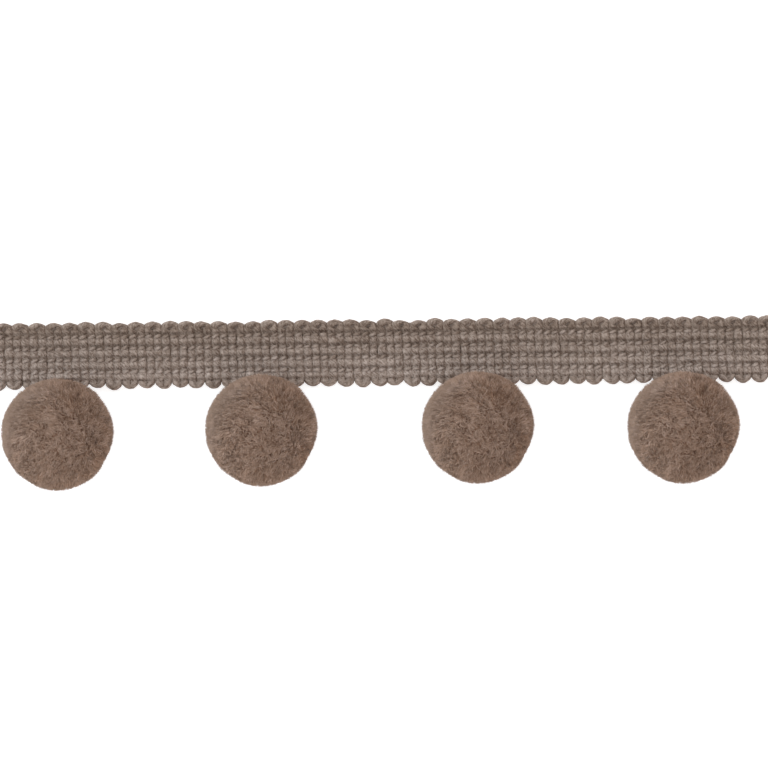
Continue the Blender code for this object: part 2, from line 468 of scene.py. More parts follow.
def swept_yarn(middle, side, up, down, run, sides, twist, rough=0.0, draw=None):
    """A twisted yarn from its rings' middles, three half axes of each, and the distance along it."""
    angle = -math.pi / 2 + 2 * math.pi * np.arange(sides) / sides
    ply = 1.0 + twist.depth * np.cos(
        twist.plies * (angle[None, :] + 2 * math.pi * run[:, None] / twist.pitch)
    )
    across = np.sign(np.cos(angle)) * np.abs(np.cos(angle)) ** ROUNDNESS
    rise = np.sign(np.sin(angle)) * np.abs(np.sin(angle)) ** ROUNDNESS
    height = np.where(rise[None, :, None] > 0.0, up[:, None, :], down[:, None, :])
    spokes = across[None, :, None] * side[:, None, :] + rise[None, :, None] * height
    points = (middle[:, None, :] + spokes * ply[..., None]).reshape(-1, 3)
    if rough:
        push = rough * soft_noise(points, ROUGH_REACH, ROUGH_WAVES, draw)
        points += unit(spokes.reshape(-1, 3)) * push[:, None]
    return Yarn(points, *yarn_faces(len(middle), sides), *yarn_map(run, sides))


def joined(yarns):
    """Several yarns as one."""
    starts = np.cumsum([0] + [len(yarn.points) for yarn in yarns])
    return Yarn(
        np.vstack([yarn.points for yarn in yarns]),
        np.vstack([yarn.quads + start for yarn, start in zip(yarns, starts)]),
        np.vstack([yarn.ends + start for yarn, start in zip(yarns, starts)]),
        np.vstack([yarn.quad_map for yarn in yarns]),
        np.vstack([yarn.end_map for yarn in yarns]),
    )


def yarn_object(name, yarn, shade, material):
    return mesh_object(
        name,
        yarn.points,
        [yarn.quads, yarn.ends],
        material,
        {"shade": shade},
        np.vstack([yarn.quad_map, yarn.end_map]),
    )


def tone_patches(run, spacing, spread, draw):
    """Brighter and darker lengths of a yarn, by the distance along it."""
    knots = np.arange(0.0, run[-1] + spacing, spacing)
    return np.interp(run, knots, draw.normal(0.0, spread, len(knots)))


def round_section(path, radius):
    """The half axes of a round yarn's rings: one level, one upright."""
    tangent = unit(np.gradient(path, axis=0))
    side = unit(np.cross((0.0, 0.0, 1.0), tangent)) * np.reshape(radius, (-1, 1))
    up = np.cross(tangent, side)
    return side, up


# --- braid -------------------------------------------------------------------------------------


def smooth_step(share):
    """From 0 to 1 with a soft start and end."""
    share = np.clip(share, 0.0, 1.0)
    return share * share * (3.0 - 2.0 * share)


def lift(x, y):
    """How far the braid's lower edge is pulled off the floor beside the pompoms."""
    across = smooth_step(1.0 - (y + BRAID_WIDTH / 2) / LIFT_DEPTH)
    nearest = np.min([np.abs(x - pompom.along) for pompom in POMPOMS], axis=0)
    return LIFT_HEIGHT * across * smooth_step(1.0 - nearest / LIFT_HALF_LENGTH)


# One stitch row: how far below its groove each stop lies, as a share of the row, with the yarn's
# half width and half height there. The yarn dips at the groove and under the chain thread.
Stop = namedtuple("Stop", "share half_width half_height")
ROW = (
    Stop(0.00, 1.00 * MM, 0.72 * MM),
    Stop(0.10, 1.00 * MM, 0.68 * MM),
    Stop(0.23, 1.00 * MM, 0.78 * MM),
    Stop(0.35, 1.01 * MM, 0.96 * MM),
    Stop(0.45, 1.03 * MM, 1.08 * MM),
    Stop(0.55, 1.05 * MM, 1.13 * MM),
    Stop(0.67, 1.06 * MM, 1.15 * MM),
    Stop(0.79, 1.05 * MM, 1.10 * MM),
    Stop(0.89, 1.03 * MM, 0.98 * MM),
    Stop(0.96, 1.01 * MM, 0.84 * MM),
)

# The loops that join the columns, from left to right: a point on the outer edge, the one across
# from it on the inner edge, both from the loop's middle line and the braid's, and the half height.
Turn = namedtuple("Turn", "outer_x outer_y inner_x inner_y half_height")
UPPER_LOOP = (
    Turn(-1.95 * MM, 5.20 * MM, 0.10 * MM, 5.20 * MM, 1.00 * MM),
    Turn(-1.96 * MM, 5.74 * MM, -0.30 * MM, 5.52 * MM, 0.98 * MM),
    Turn(-1.94 * MM, 6.28 * MM, -0.52 * MM, 5.68 * MM, 1.02 * MM),
    Turn(-1.72 * MM, 6.76 * MM, -0.42 * MM, 5.86 * MM, 1.08 * MM),
    Turn(-1.06 * MM, 7.14 * MM, -0.10 * MM, 6.04 * MM, 1.10 * MM),
    Turn(-0.10 * MM, 7.37 * MM, 0.18 * MM, 6.18 * MM, 1.06 * MM),
    Turn(0.72 * MM, 7.23 * MM, 0.38 * MM, 6.26 * MM, 0.92 * MM),
    Turn(1.38 * MM, 6.98 * MM, 0.44 * MM, 6.14 * MM, 0.78 * MM),
    Turn(1.86 * MM, 6.68 * MM, 0.16 * MM, 5.88 * MM, 0.74 * MM),
    Turn(1.94 * MM, 5.95 * MM, -0.22 * MM, 5.56 * MM, 0.84 * MM),
    Turn(1.94 * MM, 5.20 * MM, -0.08 * MM, 5.20 * MM, 0.98 * MM),
)
LOWER_LOBE = (
    Turn(-1.82 * MM, -5.80 * MM, -0.10 * MM, -5.74 * MM, 0.78 * MM),
    Turn(-1.84 * MM, -6.22 * MM, -0.04 * MM, -5.84 * MM, 0.84 * MM),
    Turn(-1.72 * MM, -6.70 * MM, 0.06 * MM, -5.92 * MM, 0.94 * MM),
    Turn(-1.20 * MM, -7.16 * MM, 0.04 * MM, -5.96 * MM, 0.94 * MM),
    Turn(-0.54 * MM, -7.52 * MM, 0.00 * MM, -5.98 * MM, 0.94 * MM),
    Turn(0.14 * MM, -7.60 * MM, 0.00 * MM, -5.98 * MM, 0.94 * MM),
    Turn(0.80 * MM, -7.48 * MM, 0.00 * MM, -5.98 * MM, 0.94 * MM),
    Turn(1.34 * MM, -7.10 * MM, -0.04 * MM, -5.96 * MM, 0.94 * MM),
    Turn(1.76 * MM, -6.68 * MM, -0.06 * MM, -5.92 * MM, 0.94 * MM),
    Turn(1.84 * MM, -6.22 * MM, 0.04 * MM, -5.84 * MM, 0.84 * MM),
    Turn(1.82 * MM, -5.80 * MM, 0.10 * MM, -5.74 * MM, 0.78 * MM),
)

# How far each stitch lies from its even place, along the braid and across it.
STITCH_SPREAD = 0.075 * MM
SWAY = np.random.default_rng(seed=31).normal(0.0, STITCH_SPREAD, (len(GROOVES), COLUMNS))
WANDER = np.random.default_rng(seed=32).normal(0.0, STITCH_SPREAD, (len(GROOVES), COLUMNS))

# How much the stitches differ in fullness and width, as shares, and how much each stop of the yarn
# sways. The yarn keeps its size near a groove, up to FREE_FROM of the row, and has LAST_HALF_HEIGHT
# where it reaches the last groove.
FULLNESS_SPREAD = 0.06
WIDTH_SPREAD = 0.05
STOP_SPREAD = 0.03 * MM
FREE_FROM = 0.3
LAST_HALF_HEIGHT = 0.80 * MM

# How much the loops differ: how far the outer edge is moved along and across the braid and the inner
# edge across it, and their fullness as a share.
OUTER_ALONG_SPREAD = 0.15 * MM
OUTER_ACROSS_SPREAD = 0.12 * MM
INNER_ACROSS_SPREAD = 0.05 * MM
LOOP_FULLNESS_SPREAD = 0.05


def column_place(column):
    """How far right of the trim's middle a column stands."""
    return (column - (COLUMNS - 1) / 2) * COLUMN_PITCH


def column_stops(column, draw):
    """Down the straight part of one column: x, y of its left edge and its right, and half height."""
    rows = []
    sways = []
    places = BRAID_WIDTH / 2 - np.array(GROOVES) - WANDER[:, column]
    for number, start in enumerate(places[:-1]):
        fuller, wider = draw.normal(0.0, (FULLNESS_SPREAD, WIDTH_SPREAD))
        for stop in ROW:
            free = stop.share > FREE_FROM
            y = start + stop.share * (places[number + 1] - start)
            half_width = stop.half_width * (1.0 + wider * free)
            half_height = stop.half_height * (1.0 + fuller * free)
            rows.append([-half_width, y, half_width, y, half_height])
            sways.append(np.interp(stop.share, (0.0, 1.0), SWAY[number : number + 2, column]))
    rows.append([-ROW[0].half_width, places[-1], ROW[0].half_width, places[-1], LAST_HALF_HEIGHT])
    sways.append(SWAY[-1, column])
    rows = np.array(rows)
    rows[:, (0, 2)] += column_place(column) + np.array(sways)[:, None]
    rows[:, (0, 2)] += draw.normal(0.0, STOP_SPREAD, (len(rows), 1))
    return rows


def loop_stops(turns, middle, draw):
    """A loop's edges and half height, a little off their even places. Half a loop keeps its edges."""
    rows = np.array([list(turn) for turn in turns])
    free = np.sin(math.pi * np.arange(len(rows)) / (len(rows) - 1))
    if len(rows) < len(UPPER_LOOP):
        free[:] = 0.0
    rows[:, 0] += draw.normal(0.0, OUTER_ALONG_SPREAD) * free
    rows[:, 1] += draw.normal(0.0, OUTER_ACROSS_SPREAD) * free
    rows[:, 3] += draw.normal(0.0, INNER_ACROSS_SPREAD) * free
    rows[:, 4] *= 1.0 + draw.normal(0.0, LOOP_FULLNESS_SPREAD)
    rows[:, (0, 2)] += middle
    return rows


# The order of a stop's numbers where its left and right edges change places.
CHANGED_OVER = [2, 3, 0, 1, 4]
# The steps of the filling yarn's curve from stop to stop, and the space between its rings.
WEFT_CURVE_STEPS = 6
WEFT_STEP = 0.2 * MM


def weft_rows():
    """The filling yarn's zigzag: both its edges, half height, and the distance along it."""
    draw = np.random.default_rng(seed=11)
    top = len(UPPER_LOOP) // 2
    parts = [loop_stops(UPPER_LOOP[top:], column_place(-0.5), draw)[:, CHANGED_OVER]]
    for column in range(0, COLUMNS, 2):
        parts.append(column_stops(column, draw))
        parts.append(loop_stops(LOWER_LOBE, column_place(column + 0.5), draw))
        parts.append(column_stops(column + 1, draw)[::-1, CHANGED_OVER])
        last = column + 2 == COLUMNS
        turns = UPPER_LOOP[: top + 1] if last else UPPER_LOOP
        parts.append(loop_stops(turns, column_place(column + 1.5), draw)[:, CHANGED_OVER])
    curve = through_stops(np.vstack(parts), WEFT_CURVE_STEPS)
    curve[:, 0] -= COLUMN_LEAN * curve[:, 1] / BRAID_WIDTH
    curve[:, 2] -= COLUMN_LEAN * curve[:, 3] / BRAID_WIDTH
    return spaced_evenly(curve, (curve[:, :2] + curve[:, 2:4]) / 2, WEFT_STEP)


# Painted light and shade: how bright the yarn is at each distance below the braid's upper edge,
# darker in the upper rows and towards the lower edge.
Tone = namedtuple("Tone", "below brightness")
PAINTED_ROW_LIGHT = (
    Tone(0.0 * MM, 0.84),
    Tone(0.7 * MM, 0.71),
    Tone(1.3 * MM, 0.60),
    Tone(2.0 * MM, 0.62),
    Tone(2.7 * MM, 0.67),
    Tone(3.6 * MM, 0.805),
    Tone(4.4 * MM, 0.75),
    Tone(5.0 * MM, 0.765),
    Tone(5.6 * MM, 0.845),
    Tone(6.6 * MM, 0.86),
    Tone(9.0 * MM, 0.945),
    Tone(10.0 * MM, 0.99),
    Tone(11.6 * MM, 1.04),
    Tone(13.2 * MM, 0.96),
    Tone(14.0 * MM, 0.88),
    Tone(14.5 * MM, 0.70),
)
# Painted shade between the stitches: how much of that brightness is left deep between them, and how high
# the ridges are that have all of it.
HOLLOW_PAINTED_SHADE = 0.8
RIDGE_HEIGHT = 2.3 * MM


def yarn_shade(points, patches):
    """The yarn's brightness: painted light and shade by its place across the braid, its lengths of tone,
    and painted shade deep between the stitches.
    """
    x, y, z = points.T
    tone = np.interp(BRAID_WIDTH / 2 - y, *zip(*PAINTED_ROW_LIGHT))
    level = smooth_step((z - lift(x, y)) / RIDGE_HEIGHT)
    return (tone + patches) * (HOLLOW_PAINTED_SHADE + (1.0 - HOLLOW_PAINTED_SHADE) * level)


# The filling yarn: how much of its half height lies in its crown, above its widest line, how far it is
# raised and how far it stays off the floor, the corners of its rings, its twist, how rough it is, and
# how long and how strong its lengths of tone are.
CROWN_SHARE = 0.7
WEFT_RAISE = 0.04 * MM
WEFT_FLOOR_GAP = 0.03 * MM
WEFT_SIDES = 18
WEFT_TWIST = Twist(plies=6, depth=0.04, pitch=5.6 * MM)
WEFT_ROUGH = 0.03 * MM
WEFT_PATCH = 1.3 * MM
WEFT_PATCH_SPREAD = 0.045


def weft_piece(name, rows, run, patches, material, draw):
    """One length of the filling yarn, which lies flat but for the lift of the braid's lower edge."""
    left, right, half_height = rows[:, :2], rows[:, 2:4], rows[:, 4]
    flat = (left + right) / 2
    raised = lift(flat[:, 0], flat[:, 1])
    crown = CROWN_SHARE * half_height
    middle = np.column_stack([flat, raised + 2.0 * half_height - crown + WEFT_RAISE])
    side = np.column_stack([(right - left) / 2, np.zeros(len(flat))])
    up = np.column_stack([np.zeros_like(flat), crown])
    down = np.column_stack([np.zeros_like(flat), 2.0 * half_height - crown])
    yarn = swept_yarn(middle, side, up, down, run, WEFT_SIDES, WEFT_TWIST, WEFT_ROUGH, draw)
    lowest = np.repeat(raised, WEFT_SIDES) + WEFT_FLOOR_GAP
    yarn.points[:, 2] = np.maximum(yarn.points[:, 2], lowest)
    shade = yarn_shade(yarn.points, np.repeat(patches, WEFT_SIDES))
    return yarn_object(name, yarn, shade, material)


def make_weft(material):
    """The filling yarn, in two pieces that meet in the middle of the trim."""
    rows, run = weft_rows()
    draw = np.random.default_rng(seed=5)
    patches = tone_patches(run, WEFT_PATCH, WEFT_PATCH_SPREAD, draw)
    half = len(rows) // 2
    parts = {"weft_left": slice(0, half + 1), "weft_right": slice(half, None)}
    return [
        weft_piece(name, rows[part], run[part], patches[part], material, draw)
        for name, part in parts.items()
    ]


# The chain thread over one column: the place past the column's line, how far below the groove it
# lies, its height and its radius. It slants up to the right over the yarn and drops back in the gap.
# The last one follows the lobes instead: down over a lobe's left column, and up over its right one.
Chain = namedtuple("Chain", "side below height radius")
CHAIN = (
    Chain(-0.92 * MM, 0.74 * MM, 0.80 * MM, 0.22 * MM),
    Chain(-0.68 * MM, 0.87 * MM, 1.45 * MM, 0.27 * MM),
    Chain(-0.38 * MM, 0.84 * MM, 2.02 * MM, 0.32 * MM),
    Chain(0.00 * MM, 0.70 * MM, 2.20 * MM, 0.34 * MM),
    Chain(0.36 * MM, 0.57 * MM, 2.02 * MM, 0.31 * MM),
    Chain(0.62 * MM, 0.56 * MM, 1.42 * MM, 0.26 * MM),
)
LOBE_LEFT_CHAIN = (
    Chain(-0.92 * MM, 0.40 * MM, 0.70 * MM, 0.22 * MM),
    Chain(-0.68 * MM, 0.46 * MM, 1.30 * MM, 0.28 * MM),
    Chain(-0.36 * MM, 0.54 * MM, 1.98 * MM, 0.34 * MM),
    Chain(0.02 * MM, 0.72 * MM, 2.22 * MM, 0.36 * MM),
    Chain(0.36 * MM, 1.02 * MM, 2.10 * MM, 0.34 * MM),
    Chain(0.70 * MM, 1.32 * MM, 1.70 * MM, 0.30 * MM),
)
LOBE_RIGHT_CHAIN = (
    Chain(-0.70 * MM, 1.32 * MM, 1.70 * MM, 0.30 * MM),
    Chain(-0.40 * MM, 1.00 * MM, 2.08 * MM, 0.34 * MM),
    Chain(-0.04 * MM, 0.72 * MM, 2.22 * MM, 0.36 * MM),
    Chain(0.28 * MM, 0.50 * MM, 2.02 * MM, 0.34 * MM),
    Chain(0.60 * MM, 0.34 * MM, 1.30 * MM, 0.28 * MM),
)

# How much the chain stitches differ in slant, size and height.
SLANT_SPREAD = 0.15
SIZE_SPREAD = 0.1
HEIGHT_SPREAD = 0.06 * MM
# Their thread: the corners of its rings, its twist, the steps of its curve, the space between its
# rings, and how long and how strong its lengths of tone are.
CHAIN_SIDES = 9
CHAIN_TWIST = Twist(plies=2, depth=0.1, pitch=1.5 * MM)
CHAIN_CURVE_STEPS = 5
CHAIN_STEP = 0.22 * MM
CHAIN_PATCH = 2 * MM
CHAIN_PATCH_SPREAD = 0.09


def chain_stops(chain, number, draw):
    """x, y, z and radius of one chain thread's stops: chain holds those for even and odd columns."""
    stops = np.array([list(stop) for column in range(COLUMNS) for stop in chain[column % 2]])
    column = np.repeat(np.arange(COLUMNS), [len(chain[place % 2]) for place in range(COLUMNS)])
    slant = draw.normal(0.0, SLANT_SPREAD, COLUMNS)[column]
    below = stops[:, 1] + slant * stops[:, 0] + WANDER[number, column]
    size = 1.0 + draw.normal(0.0, SIZE_SPREAD, COLUMNS)[column]
    y = BRAID_WIDTH / 2 - GROOVES[number] - below
    x = stops[:, 0] + column_place(column) + SWAY[number, column] - COLUMN_LEAN * y / BRAID_WIDTH
    z = stops[:, 2] + draw.normal(0.0, HEIGHT_SPREAD, COLUMNS)[column] + lift(x, y)
    return np.stack([x, y, z, stops[:, 3] * size], axis=1)


def chain_thread(number, draw):
    """One chain thread and its brightness."""
    last = number == len(GROOVES) - 1
    chain = (LOBE_LEFT_CHAIN, LOBE_RIGHT_CHAIN) if last else (CHAIN, CHAIN)
    curve = through_stops(chain_stops(chain, number, draw), CHAIN_CURVE_STEPS)
    rows, run = spaced_evenly(curve, curve[:, :3], CHAIN_STEP)
    path = rows[:, :3]
    side, up = round_section(path, rows[:, 3])
    yarn = swept_yarn(path, side, up, up, run, CHAIN_SIDES, CHAIN_TWIST)
    patches = tone_patches(run, CHAIN_PATCH, CHAIN_PATCH_SPREAD, draw)
    return yarn, yarn_shade(yarn.points, np.repeat(patches, CHAIN_SIDES))


def make_chains(material):
    """The chain threads of all the grooves, in one piece."""
    draw = np.random.default_rng(seed=23)
    yarns, shades = zip(*[chain_thread(number, draw) for number in range(len(GROOVES))])
    return yarn_object("chain_stitches", joined(yarns), np.concatenate(shades), material)


# The ground: the heights of its two sides, its edges above and below the braid's middle line, its
# steps across and along, how far it ends short of the cuts, and where and how much painted light makes
# it paler, behind the loops of the upper edge.
GROUND_HEIGHTS = (0.35 * MM, 1.25 * MM)
GROUND_EDGES = (6.55 * MM, -6.3 * MM)
GROUND_STEPS = (12, 200)
GROUND_SHORT = 0.2 * MM
PAINTED_LIGHT_FROM = 4.8 * MM
PAINTED_LIGHT_WITHIN = 1.0 * MM
PAINTED_LIGHT_BY = 0.9


def make_ground(material):
    """The thin knitted ground between the yarns, which closes the gaps."""
    across, along = GROUND_STEPS
    half_length = COLUMNS * COLUMN_PITCH / 2 - GROUND_SHORT
    x, y = np.meshgrid(
        np.linspace(-half_length, half_length, along + 1),
        np.linspace(*GROUND_EDGES, across + 1),
        indexing="ij",
    )
    raised = lift(x, y)
    low = np.stack([x, y, raised + GROUND_HEIGHTS[0]], axis=-1).reshape(-1, 3)
    high = np.stack([x, y, raised + GROUND_HEIGHTS[1]], axis=-1).reshape(-1, 3)
    index = np.arange((along + 1) * (across + 1)).reshape(along + 1, across + 1)
    corners = [index[:-1, :-1], index[:-1, 1:], index[1:, 1:], index[1:, :-1]]
    quads = np.stack(corners, axis=-1).reshape(-1, 4)
    total = len(low)
    rim = np.concatenate([index[:-1, 0], index[-1, :-1], index[:0:-1, -1], index[0, :0:-1]])
    following = np.roll(rim, -1)
    walls = np.stack([rim, following, following + total, rim + total], axis=1)
    # Painted light: the ground is paler behind the loops of the upper edge.
    shade = 1.0 + PAINTED_LIGHT_BY * smooth_step((y.ravel() - PAINTED_LIGHT_FROM) / PAINTED_LIGHT_WITHIN)
    return mesh_object(
        "knit_ground",
        np.vstack([low, high]),
        [quads, quads[:, ::-1] + total, walls],
        material,
        {"shade": np.tile(shade, 2)},
        np.zeros((4 * (2 * len(quads) + len(walls)), 2)),
    )


def make_braid():
    yarns = [*make_weft(yarn_material(WEFT_LOOK)), make_chains(yarn_material(CHAIN_LOOK))]
    ground = make_ground(yarn_material(GROUND_LOOK))
    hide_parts("band")


# --- pompoms -----------------------------------------------------------------------------------

# The pile: how many fibres it has, in how many clumps, how deep it is, how wide a fibre is at its root,
# and how far the fibres stay off the tie and off the floor.
FIBRES = 34000
SMALL_CLUMPS = 2400
LARGE_CLUMPS = 90
PILE_DEPTH = 1.4 * MM
FIBRE_WIDTH = 0.38 * MM
TIE_PARTING = 0.9 * MM
FIBRE_FLOOR_GAP = 0.03 * MM
# The corners of a fibre's faces: 0 to 2 stand on the ball, and 3 is its tip.
FIBRE_FACES = ((0, 1, 3), (1, 2, 3), (2, 0, 3), (2, 1, 0))

# How unevenly the roots and the clumps stand, as shares of the ball's radius.
ROOT_SPREAD = 0.006
SMALL_CLUMP_SPREAD = 0.03
LARGE_CLUMP_SPREAD = 0.1
# How far the tips go to their clump's middle, and, as shares of the radius, how far they lean.
CLUMP_PULL = 0.25
LARGE_CLUMP_LEAN = 0.008
SMALL_CLUMP_LEAN = 0.04
FIBRE_LEAN = 0.034
# How much the tips differ in reach: in wide waves, which are WAVE_REACH radii long, by small clump and
# by fibre.
WAVE_DEPTH = 0.08 * MM
WAVE_REACH = 1.6
WAVES = 6
CLUMP_DEPTH = 0.08 * MM
FIBRE_DEPTH = 0.12 * MM


def sphere_points(count, spread, draw):
    """Evenly placed directions, each moved about a little."""
    number = np.arange(count) + 0.5
    z = 1.0 - 2.0 * number / count
    turn = math.pi * (1.0 + math.sqrt(5.0)) * number
    flat = np.sqrt(1.0 - z * z)
    points = np.stack([flat * np.cos(turn), flat * np.sin(turn), z], axis=1)
    return unit(points + draw.normal(0.0, spread, points.shape))


def nearest_of(points, centres):
    """The number of the centre that is nearest to each point."""
    tree = KDTree(len(centres))
    for number, centre in enumerate(centres):
        tree.insert(centre, number)
    tree.balance()
    return np.array([tree.find(point)[1] for point in points])


def seen_place(spot):
    """The direction from the ball's middle to a place given as it is seen from above."""
    flat = np.array((spot.right, spot.up)) / POMPOM_RADIUS
    return np.array((*flat, math.sqrt(1.0 - flat @ flat)))


# Where the pile parts, seen from above: how far right of the ball's middle and how far up, how wide
# the parting is and how deep.
Parting = namedtuple("Parting", "right up width depth")
PARTINGS = (
    Parting(9.1 * MM, -0.2 * MM, 0.8 * MM, 0.40 * MM),
    Parting(-7.1 * MM, -3.6 * MM, 0.9 * MM, 0.42 * MM),
    Parting(7.3 * MM, -3.8 * MM, 0.9 * MM, 0.40 * MM),
    Parting(3.1 * MM, 7.3 * MM, 0.9 * MM, 0.70 * MM),
    Parting(6.2 * MM, -0.4 * MM, 0.8 * MM, 0.45 * MM),
    Parting(5.8 * MM, 7.1 * MM, 0.8 * MM, 0.70 * MM),
    Parting(0.7 * MM, -5.6 * MM, 0.8 * MM, 0.45 * MM),
    Parting(9.8 * MM, 2.0 * MM, 0.8 * MM, 0.40 * MM),
    Parting(1.8 * MM, 7.8 * MM, 0.8 * MM, 0.60 * MM),
    Parting(-2.9 * MM, 8.4 * MM, 0.8 * MM, 0.45 * MM),
    Parting(-0.7 * MM, 4.4 * MM, 0.8 * MM, 0.40 * MM),
    Parting(1.8 * MM, -2.9 * MM, 0.8 * MM, 0.40 * MM),
    Parting(5.1 * MM, -3.3 * MM, 0.8 * MM, 0.42 * MM),
    Parting(3.8 * MM, 5.3 * MM, 0.9 * MM, 0.70 * MM),
    Parting(-4.9 * MM, 1.8 * MM, 0.8 * MM, 0.30 * MM),
)
# How far a parting pushes the tips away from its middle.
PARTING_PUSH = 0.5

# How far the trimmed ball reaches past its radius at its rim, in millimetres, every RIM_STEP degrees
# round from the right.
RIM_STEP = 15.0
RIM_OUT = (
    0.0, 0.17, 0.0, 0.25, 0.15, 0.0, 0.0, 0.0, 0.0, 0.05, 0.06, 0.19,
    -0.03, 0.0, -0.08, -0.02, -0.32, -0.13, -0.13, -0.17, -0.19, -0.16, -0.6, -0.42,
)


def rim_reach(tips):
    """The radius that the ball is trimmed to in each direction."""
    turn = np.degrees(np.arctan2(tips[:, 1], tips[:, 0])) % 360.0
    out = np.interp(turn, np.arange(len(RIM_OUT) + 1) * RIM_STEP, [*RIM_OUT, RIM_OUT[0]])
    return POMPOM_RADIUS + out * MM * smooth_step(1.0 - np.abs(tips[:, 2]))


def part_pile(tips):
    """The tips pushed away from the partings, and how much shorter each fibre is there."""
    tips = tips.copy()
    hollow = np.zeros(len(tips))
    for parting in PARTINGS:
        away = tips - seen_place(parting)
        gap = np.linalg.norm(away, axis=1) * POMPOM_RADIUS
        near = np.exp(-((gap / parting.width) ** 2))
        hollow += parting.depth * near
        tips += away * (PARTING_PUSH * near)[:, None]
    return unit(tips), hollow


# Which way the pile's tips lean, seen from above like the partings: the way is in degrees, round from
# the right.
Comb = namedtuple("Comb", "right up way lean")
COMBED = (
    Comb(-0.4 * MM, -0.2 * MM, 150.0, 0.03),
    Comb(-1.2 * MM, 5.0 * MM, 172.0, 0.065),
    Comb(-4.6 * MM, 7.6 * MM, 176.0, 0.07),
    Comb(-8.8 * MM, 5.0 * MM, 215.0, 0.06),
    Comb(-9.6 * MM, -1.2 * MM, 225.0, 0.05),
    Comb(-5.6 * MM, -4.2 * MM, 240.0, 0.05),
    Comb(-4.4 * MM, -7.6 * MM, 258.0, 0.06),
    Comb(0.8 * MM, -7.4 * MM, 240.0, 0.06),
    Comb(5.0 * MM, -7.4 * MM, 250.0, 0.05),
    Comb(9.0 * MM, -1.6 * MM, 112.0, 0.03),
    Comb(7.4 * MM, 3.6 * MM, 80.0, 0.055),
    Comb(1.6 * MM, 8.4 * MM, 125.0, 0.05),
)
COMB_REACH = 3.0 * MM
# The weight of the pile's own way, against that of the combing.
UNCOMBED = 0.1


def combed_lean(roots):
    """How far the combing moves the tips: along its way, and back from leaning straight out."""
    total = np.zeros_like(roots)
    weights = np.full(len(roots), UNCOMBED)
    straight_out = roots * np.array((1.0, 1.0, 0.0)) * PILE_DEPTH / POMPOM_RADIUS
    for comb in COMBED:
        gap = np.linalg.norm(roots - seen_place(comb), axis=1) * POMPOM_RADIUS
        weight = np.exp(-((gap / COMB_REACH) ** 2))
        way = math.radians(comb.way)
        lean = comb.lean * np.array((math.cos(way), math.sin(way), 0.0))
        total += weight[:, None] * (lean - straight_out)
        weights += weight
    return total / weights[:, None]


# The side where brushing has laid the pile smooth and which has a painted sheen: its direction, the
# range over which the smoothness comes on for the roots and the painted sheen for the tips, and how
# much calmer the fibres are there.
SMOOTH_AND_SHEEN_SIDE = np.array((-0.85, 0.45, -0.25))
BRUSHED_ROOTS = (0.3, 0.75)
SHEEN_TIPS = (0.32, 0.72)
CALMER = 0.65
# The side where the fibres differ most in brightness, the range over which that comes on, and by how
# much more they differ.
LIVELY_SIDE = np.array((0.6, 0.35, 0.3))
LIVELY_ROOTS = (0.1, 0.8)
LIVELIER = 0.6

# How much the fibres and the small clumps differ in brightness, and how much of that a fibre has by
# how far round the ball it stands: 0 at its top and bottom, and 1 at its rim.
FIBRE_TONE_SPREAD = 0.235
CLUMP_TONE_SPREAD = 0.11
CONTRAST_PLACES = (0.0, 0.12, 0.5, 1.0)
CONTRASTS = (0.44, 0.9, 0.88, 0.5)
# How far a fibre's normals are turned from straight out.
FIBRE_TURN = 0.25

# Paler and darker patches of the pile, seen from above like the partings: partly the pile's own tone
# and partly painted light and shade.
Patch = namedtuple("Patch", "right up width tone")
PATCHES = (
    Patch(4.6 * MM, 7.8 * MM, 3.0 * MM, -0.24),
    Patch(10.2 * MM, -6.0 * MM, 2.8 * MM, -0.28),
    Patch(8.0 * MM, 0.0 * MM, 3.0 * MM, 0.24),
    Patch(-5.3 * MM, 9.2 * MM, 3.0 * MM, 0.22),
    Patch(4.6 * MM, 2.7 * MM, 1.8 * MM, 0.15),
    Patch(2.0 * MM, -11.0 * MM, 3.5 * MM, -0.12),
    Patch(-1.5 * MM, 11.0 * MM, 2.5 * MM, 0.18),
    Patch(5.2 * MM, -6.2 * MM, 3.2 * MM, 0.18),
    Patch(-4.8 * MM, 4.8 * MM, 2.8 * MM, -0.15),
    Patch(-11.4 * MM, -1.0 * MM, 2.6 * MM, 0.12),
    Patch(0.6 * MM, -0.3 * MM, 3.0 * MM, 0.035),
)


def patch_tone(directions):
    """How much the patches add to the brightness in each direction."""
    total = np.zeros(len(directions))
    for patch in PATCHES:
        gap = np.linalg.norm(directions - seen_place(patch), axis=1) * POMPOM_RADIUS
        total += patch.tone * np.exp(-((gap / patch.width) ** 2))
    return total


def side_share(directions, side, ends):
    """How far each direction belongs to a side: 0 at the first of the ends, and 1 at the second."""
    return smooth_step((directions @ side - ends[0]) / (ends[1] - ends[0]))


Pile = namedtuple("Pile", "roots tips reach clump loose")


